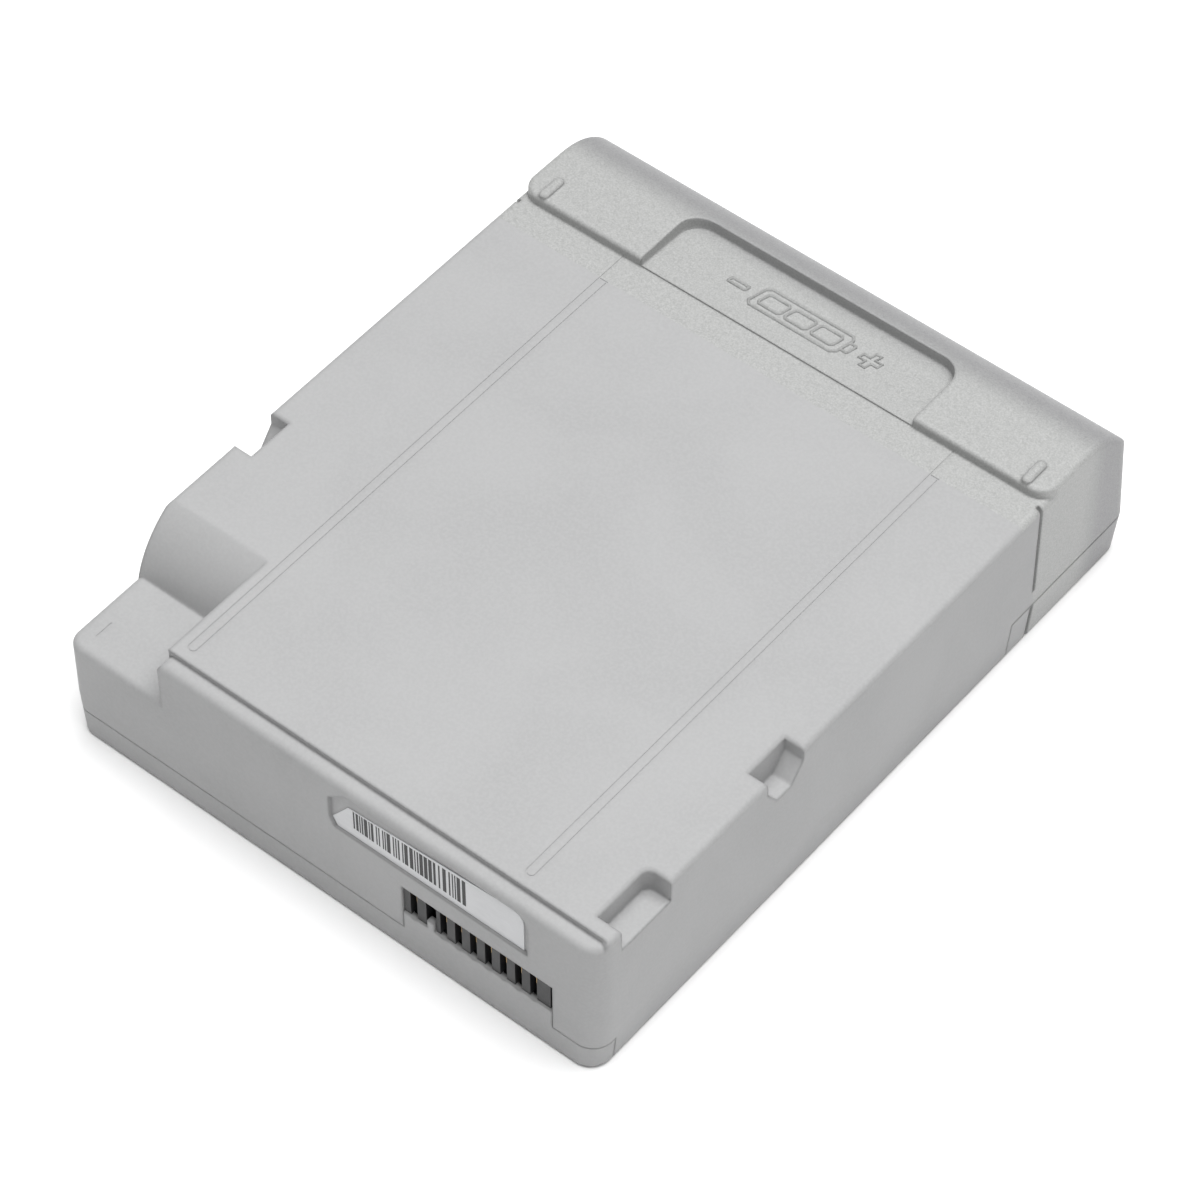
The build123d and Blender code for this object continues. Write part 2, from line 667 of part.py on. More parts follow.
def contacts():
    """Spring leaves on the right wall of each slot, each with a tail soldered to the board."""
    leaves = None
    root, tail = CONNECTOR_BACK - THIN_WALL, CONNECTOR_BACK + TAIL
    top, step = WINDOW_TOP - 2 * FIT, SLOT_Z0 + CONTACT_THICK
    for n in live_slots():
        x1 = slot_x(n) + BLADE_SLOT / 2
        x0 = x1 - CONTACT_THICK
        leaf = block(x0, x1, NOSE_Y + CONTACT_IN, root, top - CONTACT_TALL, top)
        leaf += block(x0, x1, root - CONTACT_TALL / 2, root, SLOT_Z0, top)
        leaf += block(x0, x1, root - CONTACT_THICK, tail, SLOT_Z0, step)
        leaf += block(x0, x1, tail - CONTACT_THICK, tail, BOARD_TOP, step)
        leaves = leaf if leaves is None else leaves + leaf
    return leaves


def circuit_board():
    """The bare board."""
    return block(*BOARD_X, *BOARD_Y, BOARD_Z, BOARD_TOP)


def along_board(share):
    """A place along the board's free length, as a share of it."""
    return BOARD_X[0] + share * FREE_LENGTH


def chip(share, length, width, legs):
    """A moulded chip that stands on its legs in the middle of the board."""
    x, y = along_board(share), (BOARD_Y[0] + BOARD_Y[1]) / 2
    z0, z1 = BOARD_TOP + FIT, BOARD_TOP + CHIP_TALL
    body = block(x - length / 2, x + length / 2, y - width / 2, y + width / 2, z0, z1)
    step = length / legs
    for n in range(legs):
        leg = x - length / 2 + step * (n + 0.5)
        reach = width / 2 + LEG_REACH
        sides = (leg - LEG_HALF, leg + LEG_HALF, y - reach, y + reach)
        body += block(*sides, BOARD_TOP, BOARD_TOP + LEG_THICK)
    return body


def on_board(x, y, length, width, tall):
    """A plain block that lies on the board."""
    return block(x - length / 2, x + length / 2, y - width / 2, y + width / 2, BOARD_TOP, BOARD_TOP + tall)


def sense_resistor():
    """The flat resistor behind the connector."""
    y = CONNECTOR_BACK + TAIL + CONTACT_THICK + SENSE[1] / 2
    return on_board(WINDOW_X[1] - SENSE[0], y, *SENSE)


def capacitors():
    """The small capacitors beside the chips."""
    row = None
    for n, share in enumerate(CAPACITOR_SHARES):
        front = n < len(CAPACITOR_SHARES) / 2
        y = BOARD_Y[0] + CAPACITOR[1] if front else BOARD_Y[1] - CAPACITOR[1]
        one = on_board(along_board(share), y, *CAPACITOR)
        row = one if row is None else row + one
    return row


def thermistor():
    """A bead against the first cell on two leads from the board."""
    y = CELL_Y0 - CELL_R - BEAD_R
    middle = BOARD_X[0] + THERMISTOR_IN
    plane = Plane(origin=(middle - BEAD_R, y, CELL_Z), x_dir=(0, 1, 0), z_dir=(1, 0, 0))
    bead = extrude(plane * RegularPolygon(BEAD_R, BEAD_SIDES), 2 * BEAD_R, dir=plane.z_dir)
    for x in (middle - BEAD_R / 2, middle + BEAD_R / 2):
        y1 = BOARD_Y[1] - FIT
        bead += block(x - LEAD_HALF, x + LEAD_HALF, y1 - 2 * LEAD_HALF, y1, BOARD_TOP, CELL_Z)
    return bead


def cell(n):
    """One sealed cell. The first pair has its cap on the left, the other pair on the right."""
    body = CELL_LENGTH - CELL_CAP_RISE
    plane = Plane(origin=(body, 0, 0), x_dir=(0, 1, 0), z_dir=(1, 0, 0))
    cap = extrude(plane * RegularPolygon(CELL_CAP_R, CELL_CAP_SIDES), CELL_CAP_RISE, dir=plane.z_dir)
    return place_cell(rod_x(0, body, 0, 0, CELL_R) + cap, n)


def place_cell(shape, n):
    """Puts a cell, or a piece made round its axis, in its place in the row."""
    if n < CELL_COUNT / 2:
        shape = Pos(CELL_LENGTH, 0, 0) * mirror(shape, Plane.YZ)
    return Pos(CELL_X[0], CELL_Y[n], CELL_Z) * shape


def cap_cards():
    """Insulating cards round the caps, one for each pair of cells."""
    cards = None
    x0 = CELL_LENGTH - CELL_CAP_RISE
    plane = Plane(origin=(x0, 0, 0), x_dir=(0, 1, 0), z_dir=(1, 0, 0))
    for n in range(CELL_COUNT):
        side = CELL_PITCH / 2
        card = block(x0, x0 + CARD_THICK, -side, side, -CARD_HALF, CARD_HALF)
        hole = RegularPolygon(CARD_HOLE_R, CARD_HOLE_SIDES)
        card -= extrude(plane * hole, CARD_THICK, dir=plane.z_dir)
        card = place_cell(card, n)
        cards = card if cards is None else cards + card
    return cards


def strip(x0, first, last):
    """A welded strip over the ends of some cells."""
    y0, y1 = CELL_Y[first] - STRIP_WIDTH / 2, CELL_Y[last] + STRIP_WIDTH / 2
    return block(x0, x0 + STRIP_THICK, y0, y1, CELL_Z - STRIP_WIDTH / 2, CELL_Z + STRIP_WIDTH / 2)


def tab_to_board(x0, inward, y0, y1, z1):
    """An upright tab with a foot that is soldered to the board."""
    tab = block(x0, x0 + STRIP_THICK, y0, y1, BOARD_TOP, z1)
    foot = (x0 + STRIP_THICK - inward, x0 + STRIP_THICK) if inward > 0 else (x0, x0 - inward)
    return tab + block(*foot, y0, y1, BOARD_TOP, BOARD_TOP + STRIP_THICK)


def forward_tab(x0, inward):
    """The tab of a strip that reaches forward and down to the board."""
    z0, z1 = CELL_Z - LEAD_WIDTH / 2, CELL_Z + LEAD_WIDTH / 2
    bar = block(x0, x0 + STRIP_THICK, TAB_Y[0], CELL_Y0, z0, z1)
    return bar + tab_to_board(x0, inward, *TAB_Y, z1)


def mid_strip():
    """The strip that joins the two pairs of cells, on the left."""
    x0 = CELL_X[0] - STRIP_THICK
    return strip(x0, 0, CELL_COUNT - 1) + forward_tab(x0, -FOOT)


def negative_strip():
    """The strip of the first pair, on the right."""
    return strip(CELL_X[1], 0, CELL_COUNT // 2 - 1) + forward_tab(CELL_X[1], FOOT)


def positive_strip():
    """The strip of the second pair, with a tab that steps out over the paper to the fuse."""
    x0 = CELL_X[1]
    x1 = x0 + STRIP_THICK + PAPER_THICK
    z0, z1 = LEAD_Z, LEAD_Z + LEAD_WIDTH
    step = PAPER_Y1 + STRIP_THICK
    tab = block(x0, x0 + STRIP_THICK, step, CELL_Y[CELL_COUNT // 2], z0, z1)
    tab += block(x0, x1 + STRIP_THICK, step, step + STRIP_THICK, z0, z1)
    tab += block(x1, x1 + STRIP_THICK, FUSE_Y1 + FIT, step + STRIP_THICK, z0, z1)
    return strip(x0, CELL_COUNT // 2, CELL_COUNT - 1) + tab


def thermal_fuse():
    """The fuse on the right, a flat body with a tab at each end."""
    x0 = CELL_X[1] + STRIP_THICK + PAPER_THICK
    y0, y1 = FUSE_Y1 - FUSE_LENGTH, FUSE_Y1
    body = block(x0, x0 + FUSE_THICK, y0, y1, LEAD_Z, LEAD_Z + LEAD_WIDTH)
    tab = x0 + STRIP_THICK
    z0, z1 = LEAD_Z + FUSE_INSET, LEAD_Z + LEAD_WIDTH - FUSE_INSET
    return body + block(tab, tab + STRIP_THICK, y0 - FUSE_TAB, y1 + FUSE_TAB, z0, z1)


def positive_lead():
    """The flat lead from the fuse forward to the board."""
    x0 = CELL_X[1] + STRIP_THICK + PAPER_THICK
    bar = block(x0, x0 + STRIP_THICK, LEAD_Y[0], FUSE_Y1 - FUSE_LENGTH - FIT, LEAD_Z, LEAD_Z + LEAD_WIDTH)
    return bar + tab_to_board(x0, FOOT + PAPER_THICK, *LEAD_Y, LEAD_Z + LEAD_WIDTH)


def insulator(x0, y0, y1):
    """A sheet of insulating paper over the strips, trimmed where the case comes inwards."""
    reach = CELL_R - PAPER_MARGIN
    sheet = block(x0, x0 + PAPER_THICK, y0, y1, CELL_Z - reach, CELL_Z + reach)
    return sheet - corner_cut(WALL + FIT) - notch_a(THIN_WALL + FIT)


def cell_tapes():
    """Strips of tape that hold the cells to the floor."""
    tapes = None
    for y in CELL_Y:
        x0, x1 = CELL_X[0] + TAPE_INSET, CELL_X[1] - TAPE_INSET
        y0, y1 = y - TAPE_WIDTH / 2, y + TAPE_WIDTH / 2
        tape = block(x0, x1, y0, y1, FLOOR, FLOOR + TAPE_THICK)
        tapes = tape if tapes is None else tapes + tape
    return tapes


def end_foam():
    """The foam strip between the last cell and the end wall."""
    y1 = LENGTH - END_WALL
    z0, z1 = CELL_Z - FOAM_HALF, CELL_Z + FOAM_HALF
    foam = block(FOAM_IN, WIDTH - FOAM_IN, y1 - FOAM_DEPTH, y1, z0, z1)
    return foam - cells_space(0)


# Every piece, moved so that the middle of the base is the origin
outside = case_outside()
pieces = {
    "upper_case": upper_case(outside),
    "lower_case": lower_case(outside),
    "bar_label": bar_label(),
    "connector_body": connector_body(),
    "contacts": contacts(),
    "circuit_board": circuit_board(),
    "gauge_chip": chip(GAUGE_SHARE, *GAUGE, GAUGE_LEG_COUNT),
    "protection_chip": chip(PROTECTION_SHARE, *PROTECTION, PROTECTION_LEG_COUNT),
    "charge_transistor": chip(CHARGE_SHARE, *TRANSISTOR, TRANSISTOR_LEG_COUNT),
    "discharge_transistor": chip(DISCHARGE_SHARE, *TRANSISTOR, TRANSISTOR_LEG_COUNT),
    "chip_fuse": on_board(along_board(CHIP_FUSE_SHARE), BOARD_Y[0] + CHIP_FUSE[0], *CHIP_FUSE),
    "sense_resistor": sense_resistor(),
    "capacitors": capacitors(),
    "thermistor": thermistor(),
    "cap_cards": cap_cards(),
    "mid_strip": mid_strip(),
    "negative_strip": negative_strip(),
    "positive_strip": positive_strip(),
    "thermal_fuse": thermal_fuse(),
    "positive_lead": positive_lead(),
    "left_insulator": insulator(CELL_X[0] - STRIP_THICK - PAPER_THICK, PAPER_Y0, CELL_Y[-1] + CELL_R - FIT),
    "right_insulator": insulator(CELL_X[1] + STRIP_THICK, PAPER_Y0, PAPER_Y1),
    "cell_tapes": cell_tapes(),
    "end_foam": end_foam(),
}
for n in range(CELL_COUNT):
    pieces[f"cell_{n + 1}"] = cell(n)

os.makedirs("parts", exist_ok=True)
for name, piece in pieces.items():
    export_step(Pos(-WIDTH / 2, -LENGTH / 2, 0) * piece, f"parts/{name}.step")
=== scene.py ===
"""Laptop battery pack: its finishes, the marks on it, the floor, the lights and the camera."""

import json
import math
import random

import bpy
from mathutils import Matrix, Vector


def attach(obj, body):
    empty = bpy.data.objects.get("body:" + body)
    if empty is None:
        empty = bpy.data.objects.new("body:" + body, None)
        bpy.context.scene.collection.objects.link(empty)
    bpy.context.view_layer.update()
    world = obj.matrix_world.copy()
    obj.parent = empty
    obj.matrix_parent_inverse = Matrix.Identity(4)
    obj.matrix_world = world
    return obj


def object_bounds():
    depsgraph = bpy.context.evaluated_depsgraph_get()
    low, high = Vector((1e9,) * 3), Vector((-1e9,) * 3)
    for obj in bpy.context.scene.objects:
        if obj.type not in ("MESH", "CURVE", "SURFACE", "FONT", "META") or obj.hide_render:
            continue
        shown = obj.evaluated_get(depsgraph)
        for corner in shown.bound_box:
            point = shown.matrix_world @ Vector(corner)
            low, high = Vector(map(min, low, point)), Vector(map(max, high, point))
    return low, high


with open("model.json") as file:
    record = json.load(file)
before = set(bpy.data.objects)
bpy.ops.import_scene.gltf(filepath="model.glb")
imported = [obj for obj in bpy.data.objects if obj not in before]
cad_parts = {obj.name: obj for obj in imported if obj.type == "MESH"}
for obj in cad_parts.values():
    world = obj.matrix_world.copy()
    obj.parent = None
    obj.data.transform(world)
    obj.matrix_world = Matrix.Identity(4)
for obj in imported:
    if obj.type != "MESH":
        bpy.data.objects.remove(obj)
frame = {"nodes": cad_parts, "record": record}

CAD_LOW, CAD_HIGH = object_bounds()
MM = 0.001

# Places on the pack, in millimetres from its front left bottom corner.
# Silver paint: where it starts on the top and on the sides, and where painted shade darkens it as
# the end rolls down
PAINT_LINE = 71.25
PAINT_GROOVE = 74.65
PAINT_SOFT = 0.06
PAINT_WANDER = 0.22
TOP_BAND = 21.45
TOP_SOFT = 0.1
# Span over which painted shade darkens the silver as the end rolls down
ROLL_SHADE_START = 82.5
ROLL_SHADE_END = 87.5

# Radius over which the edges of the case are eased
EDGE_EASE = 0.65

# Bars on the label: the heights of their feet and heads change from the first bar to the last
BAR_SEED = 7
LABEL_FACE = 0.28
BARS_START = 40.4
BARS_END = 55.4
BAR_FOOT = 15.2
BAR_FOOT_DROP = 0.55
BAR_HEAD = 18.0
BAR_HEAD_RISE = 0.85
BAR_PROUD = 0.012
BAR_WIDTHS = (0.16, 0.16, 0.2, 0.32, 0.46)
BAR_GAPS = (0.14, 0.18, 0.24, 0.36)

# Sign in the finger recess, on a floor that falls a little to the rear
RECESS_FLOOR = 21.95
RECESS_SLOPE = -0.0594
SIGN_Y = 80.2
SIGN_LEAN = 12.0
SIGN_ROD = 0.2
SIGN_CUT = 0.3
STROKE_HALF = 0.36
MINUS_START = 26.4
MINUS_END = 28.8
BODY_START = 30.2
BODY_END = 42.4
BODY_HALF = 1.75
CAP_END = 43.3
CAP_HALF = 0.75
CELL_MARKS = 3
CELL_START = 31.1
CELL_PITCH = 3.65
CELL_WIDE = 3.0
CELL_HALF = 0.95
PLUS_X = 45.9
PLUS_ARM = 1.25

# Camera: angles in degrees, aim and distance in millimetres from the middle of the pack
CAMERA_TURN = 39.385
CAMERA_RISE = 50.57
CAMERA_ROLL = -0.19
CAMERA_AIM = (-3.61, 3.02, 0.0)
CAMERA_FAR = 536.6
CAMERA_LENS = 145.5
CAMERA_SENSOR = 36.0


def place(x, y, z):
    """A point of the pack in the frame, in metres."""
    return Vector(CAD_LOW) + Vector((x, y, z)) * MM


# Node tools
def add(tree, kind, **values):
    """A node with some of its settings and plain inputs filled in."""
    node = tree.nodes.new(kind)
    for key, value in values.items():
        if key.startswith("in_"):
            node.inputs[key[3:].replace("_", " ")].default_value = value
        else:
            setattr(node, key, value)
    return node


def join(tree, start, end):
    """A link from an output to an input."""
    tree.links.new(start, end)


def on_piece(tree):
    """Where a point lies on its own piece."""
    return add(tree, "ShaderNodeTexCoord").outputs["Object"]


def texture(tree, kind, where, **values):
    """A texture or mapping node that reads a place."""
    node = add(tree, kind, **values)
    join(tree, where, node.inputs["Vector"])
    return node


def noise(tree, where, **values):
    """A noise over the places of a surface."""
    return texture(tree, "ShaderNodeTexNoise", where, **values)


def sum_up(tree, kind, first, second):
    """A math node on two values, each a socket or a number."""
    node = add(tree, "ShaderNodeMath", operation=kind)
    for socket, value in zip(node.inputs, (first, second)):
        if isinstance(value, (int, float)):
            socket.default_value = value
        else:
            join(tree, value, socket)
    return node.outputs[0]


def step_between(tree, value, low, high, out_low=0.0, out_high=1.0):
    """A smooth step of a value from one number to another."""
    node = add(tree, "ShaderNodeMapRange", interpolation_type="SMOOTHSTEP")
    join(tree, value, node.inputs["Value"])
    names = ("From Min", "From Max", "To Min", "To Max")
    for name, number in zip(names, (low, high, out_low, out_high)):
        node.inputs[name].default_value = number
    return node.outputs["Result"]


def mix_colour(tree, share, first, second):
    """A mix of two colours, each a socket or a plain colour."""
    node = add(tree, "ShaderNodeMix", data_type="RGBA")
    join(tree, share, node.inputs["Factor"])
    for socket, value in ((node.inputs[6], first), (node.inputs[7], second)):
        if isinstance(value, tuple):
            socket.default_value = (*value, 1.0)
        else:
            join(tree, value, socket)
    return node.outputs[2]


def mix_value(tree, share, first, second):
    """A mix of two values, each a socket or a number."""
    node = add(tree, "ShaderNodeMix", data_type="FLOAT")
    join(tree, share, node.inputs[0])
    for socket, value in ((node.inputs[2], first), (node.inputs[3], second)):
        if isinstance(value, (int, float)):
            socket.default_value = value
        else:
            join(tree, value, socket)
    return node.outputs[0]


def new_group(name, numbers, outputs):
    """An empty shader group with number inputs and value outputs."""
    tree = bpy.data.node_groups.new(name, "ShaderNodeTree")
    for label, value in numbers.items():
        socket = tree.interface.new_socket(label, in_out="INPUT", socket_type="NodeSocketFloat")
        socket.default_value = value
    for label in outputs:
        tree.interface.new_socket(label, in_out="OUTPUT", socket_type="NodeSocketFloat")
    return tree, tree.nodes.new("NodeGroupInput"), tree.nodes.new("NodeGroupOutput")


def moulded_grain():
    """The fine spark-eroded grain of a mould, as a height and as light and dark specks."""
    tree, given, out = new_group("Moulded grain", {"Scale": 2600.0}, ["Height", "Specks"])
    where = on_piece(tree)
    fine = noise(tree, where, in_Detail=3.0, in_Roughness=0.62)
    join(tree, given.outputs["Scale"], fine.inputs["Scale"])
    broad = noise(tree, where, in_Detail=2.0, in_Roughness=0.5)
    join(tree, sum_up(tree, "MULTIPLY", given.outputs["Scale"], 0.37), broad.inputs["Scale"])
    swell = sum_up(tree, "MULTIPLY", broad.outputs["Fac"], 0.6)
    join(tree, sum_up(tree, "ADD", fine.outputs["Fac"], swell), out.inputs["Height"])
    join(tree, step_between(tree, fine.outputs["Fac"], 0.36, 0.66), out.inputs["Specks"])
    return tree


def handled_patches():
    """Slow changes of tone over a surface, from moulding flow and from hands."""
    tree, given, out = new_group("Handled patches", {"Scale": 70.0}, ["Tone"])
    where = on_piece(tree)
    cloud = noise(tree, where, in_Detail=4.0, in_Roughness=0.55, in_Distortion=0.4)
    join(tree, given.outputs["Scale"], cloud.inputs["Scale"])
    join(tree, step_between(tree, cloud.outputs["Fac"], 0.3, 0.7), out.inputs["Tone"])
    return tree


def rolled_lines():
    """Fine lines along x, as a mill leaves them on sheet metal."""
    tree, given, out = new_group("Rolled lines", {"Scale": 900.0}, ["Height", "Tone"])
    where = on_piece(tree)
    stretch = texture(tree, "ShaderNodeMapping", where, in_Scale=(0.6, 8.0, 8.0))
    lines = noise(tree, stretch.outputs["Vector"], in_Detail=3.0, in_Roughness=0.6)
    join(tree, given.outputs["Scale"], lines.inputs["Scale"])
    join(tree, lines.outputs["Fac"], out.inputs["Height"])
    join(tree, step_between(tree, lines.outputs["Fac"], 0.3, 0.7), out.inputs["Tone"])
    return tree


GRAIN = moulded_grain()
PATCHES = handled_patches()
ROLLED = rolled_lines()


def use(tree, group, scale):
    """A shared group in a material, at its own scale."""
    return add(tree, "ShaderNodeGroup", node_tree=group, in_Scale=scale)


def new_material(name, **plain):
    """A material with its shader, and the plain inputs of that shader."""
    material = bpy.data.materials.new(name)
    material.use_nodes = True
    tree = material.node_tree
    shader = tree.nodes["Principled BSDF"]
    for key, value in plain.items():
        shader.inputs[key.replace("_", " ")].default_value = value
    return material, tree, shader


def raise_bump(tree, shader, height, strength, distance, edge=0.0):
    """A fine relief, on edges that can be eased."""
    bump = add(tree, "ShaderNodeBump", in_Strength=strength, in_Distance=distance)
    if edge:
        eased = add(tree, "ShaderNodeBevel", samples=4, in_Radius=edge)
        join(tree, eased.outputs["Normal"], bump.inputs["Normal"])
    join(tree, height, bump.inputs["Height"])
    join(tree, bump.outputs["Normal"], shader.inputs["Normal"])


def case_finish():
    """Grey moulded plastic that is sprayed silver at the far end, with painted shade on the silver
    where the end rolls down.
    """
    material, tree, shader = new_material("grey_case_silver_end", Specular_IOR_Level=0.32)
    where = on_piece(tree)
    axes = add(tree, "ShaderNodeSeparateXYZ")
    join(tree, where, axes.inputs[0])
    grain, patches = use(tree, GRAIN, 2600.0), use(tree, PATCHES, 60.0)
    # Sprayed area, with the slightly soft edge of a mask
    edge = noise(tree, where, in_Scale=1500.0, in_Detail=2.0)
    wander = sum_up(tree, "SUBTRACT", edge.outputs["Fac"], 0.5)
    shift = sum_up(tree, "MULTIPLY", wander, PAINT_WANDER * MM)
    along = sum_up(tree, "ADD", axes.outputs["Y"], shift)
    line, groove, roll_shade_start, roll_shade_end = (
        place(0, y, 0).y for y in (PAINT_LINE, PAINT_GROOVE, ROLL_SHADE_START, ROLL_SHADE_END)
    )
    soft = PAINT_SOFT * MM
    band_low, band_high = (TOP_BAND - TOP_SOFT) * MM, (TOP_BAND + TOP_SOFT) * MM
    on_top = sum_up(
        tree,
        "MULTIPLY",
        step_between(tree, along, line - soft, line + soft),
        step_between(tree, axes.outputs["Z"], band_low, band_high),
    )
    at_end = step_between(tree, axes.outputs["Y"], groove - soft / 4, groove + soft / 4)
    silver = sum_up(tree, "MAXIMUM", on_top, at_end)
    # Grey plastic
    grey_dark, grey_light = (0.335, 0.336, 0.338), (0.355, 0.356, 0.358)
    speck = (0.395, 0.396, 0.398)
    grey = mix_colour(tree, patches.outputs["Tone"], grey_dark, grey_light)
    grey = mix_colour(tree, sum_up(tree, "MULTIPLY", grain.outputs["Specks"], 0.35), grey, speck)
    # Silver paint with flakes of several tones, darkened by painted shade where the end turns down
    flakes = texture(tree, "ShaderNodeTexVoronoi", where, in_Scale=6800.0, in_Randomness=1.0)
    flake = add(tree, "ShaderNodeSeparateColor")
    join(tree, flakes.outputs["Color"], flake.inputs[0])
    clumps = noise(tree, where, in_Scale=5200.0, in_Detail=2.0)
    tone = sum_up(
        tree,
        "ADD",
        sum_up(tree, "MULTIPLY", flake.outputs[0], 0.45),
        step_between(tree, clumps.outputs["Fac"], 0.3, 0.7, 0.0, 0.55),
    )
    paint = mix_colour(tree, tone, (0.312, 0.316, 0.311), (0.416, 0.419, 0.414))
    # Painted shade: a darker silver for the rolled end, standing in for the shade on the turning
    # surface
    rolled_end_shaded_paint = mix_colour(tree, tone, (0.24, 0.24, 0.244), (0.3, 0.3, 0.304))
    roll_shade_share = step_between(tree, axes.outputs["Y"], roll_shade_start, roll_shade_end)
    paint = mix_colour(tree, roll_shade_share, paint, rolled_end_shaded_paint)
    join(tree, mix_colour(tree, silver, grey, paint), shader.inputs["Base Color"])
    dull = mix_value(tree, patches.outputs["Tone"], 0.60, 0.54)
    shine = mix_value(tree, flake.outputs[1], 0.36, 0.5)
    join(tree, mix_value(tree, silver, dull, shine), shader.inputs["Roughness"])
    spark = step_between(tree, flake.outputs[2], 0.5, 0.95, 0.0, 0.2)
    join(tree, sum_up(tree, "MULTIPLY", silver, spark), shader.inputs["Metallic"])
    height = sum_up(tree, "MULTIPLY", grain.outputs["Height"], mix_value(tree, silver, 1.0, 0.7))
    raise_bump(tree, shader, height, 0.22, 0.06 * MM, EDGE_EASE * MM)
    return material


def plastic(name, dark, light, rough, scale, strength):
    """A moulded plastic with its grain and its changes of tone."""
    material, tree, shader = new_material(name)
    grain, patches = use(tree, GRAIN, scale), use(tree, PATCHES, scale / 20)
    tone = sum_up(tree, "MULTIPLY", grain.outputs["Specks"], 0.4)
    colour = mix_colour(tree, patches.outputs["Tone"], dark, light)
    join(tree, mix_colour(tree, tone, colour, light), shader.inputs["Base Color"])
    dull = mix_value(tree, patches.outputs["Tone"], rough + 0.06, rough - 0.06)
    join(tree, dull, shader.inputs["Roughness"])
    raise_bump(tree, shader, grain.outputs["Height"], strength, 0.05 * MM)
    return material


def metal(name, dark, light, rough, scale, pure):
    """A rolled or plated metal."""
    material, tree, shader = new_material(name, Metallic=pure)
    lines, patches = use(tree, ROLLED, scale), use(tree, PATCHES, 260.0)
    both = sum_up(tree, "ADD", lines.outputs["Tone"], patches.outputs["Tone"])
    tone = sum_up(tree, "MULTIPLY", both, 0.5)
    join(tree, mix_colour(tree, tone, dark, light), shader.inputs["Base Color"])
    dull = mix_value(tree, lines.outputs["Tone"], rough + 0.08, rough - 0.06)
    join(tree, dull, shader.inputs["Roughness"])
    raise_bump(tree, shader, lines.outputs["Height"], 0.15, 0.03 * MM)
    return material


def paper(name, dark, light):
    """A matt paper or card with its fibres."""
    material, tree, shader = new_material(name)
    where = on_piece(tree)
    stretch = texture(tree, "ShaderNodeMapping", where, in_Scale=(0.35, 1.0, 1.0))
    along = stretch.outputs["Vector"]
    fibres = noise(tree, along, in_Scale=1800.0, in_Detail=4.0, in_Distortion=1.2)
    patches = use(tree, PATCHES, 180.0)
    tone = mix_value(tree, patches.outputs["Tone"], fibres.outputs["Fac"], 0.7)
    join(tree, mix_colour(tree, tone, dark, light), shader.inputs["Base Color"])
    join(tree, mix_value(tree, fibres.outputs["Fac"], 0.72, 0.58), shader.inputs["Roughness"])
    raise_bump(tree, shader, fibres.outputs["Fac"], 0.12, 0.03 * MM)
    return material


def board_mask():
    """Green solder mask with pale copper runs below it."""
    material, tree, shader = new_material("board_mask", Coat_Weight=0.3)
    where = on_piece(tree)
    runs = texture(
        tree,
        "ShaderNodeTexBrick",
        where,
        offset=0.35,
        in_Scale=260.0,
        in_Mortar_Size=0.03,
        in_Color1=(0.0, 0.0, 0.0, 1.0),
        in_Color2=(0.25, 0.25, 0.25, 1.0),
        in_Mortar=(1.0, 1.0, 1.0, 1.0),
    )
    grain, patches = use(tree, GRAIN, 3200.0), use(tree, PATCHES, 150.0)
    colour = mix_colour(tree, runs.outputs["Color"], (0.012, 0.10, 0.045), (0.04, 0.20, 0.09))
    cloud = sum_up(tree, "MULTIPLY", patches.outputs["Tone"], 0.3)
    colour = mix_colour(tree, cloud, colour, (0.02, 0.14, 0.06))
    join(tree, colour, shader.inputs["Base Color"])
    join(tree, mix_value(tree, grain.outputs["Specks"], 0.38, 0.28), shader.inputs["Roughness"])
    raise_bump(tree, shader, runs.outputs["Fac"], 0.2, 0.04 * MM)
    return material


def bar_ink():
    """Black ink, a little broken where it lies on paper."""
    material, tree, shader = new_material("bar_ink")
    grain = use(tree, GRAIN, 9000.0)
    tone = sum_up(tree, "MULTIPLY", grain.outputs["Specks"], 0.5)
    ink = mix_colour(tree, tone, (0.012, 0.012, 0.013), (0.05, 0.05, 0.052))
    join(tree, ink, shader.inputs["Base Color"])
    join(tree, mix_value(tree, grain.outputs["Specks"], 0.5, 0.62), shader.inputs["Roughness"])
    return material


CASE = case_finish()
# Dark tone, light tone, roughness, scale and depth of the grain
PLASTICS = {
    "connector_black": ((0.010, 0.010, 0.011), (0.026, 0.026, 0.027), 0.46, 2200.0, 0.2),
    "chip_black": ((0.012, 0.012, 0.013), (0.03, 0.03, 0.032), 0.6, 5200.0, 0.3),
    "cell_sleeve": ((0.03, 0.17, 0.11), (0.05, 0.23, 0.15), 0.26, 900.0, 0.05),
    "foam_black": ((0.01, 0.01, 0.01), (0.05, 0.05, 0.05), 0.92, 1100.0, 0.9),
    "fuse_white": ((0.62, 0.61, 0.57), (0.74, 0.73, 0.7), 0.5, 2600.0, 0.15),
    "capacitor_tan": ((0.30, 0.21, 0.13), (0.42, 0.31, 0.2), 0.45, 3600.0, 0.15),
}
# Dark tone, light tone, roughness, scale of the lines and share of bare metal
METALS = {
    "contact_gold": ((0.95, 0.50, 0.12), (1.0, 0.70, 0.26), 0.36, 1400.0, 0.2),
    "nickel": ((0.55, 0.54, 0.51), (0.74, 0.73, 0.70), 0.32, 900.0, 1.0),
}
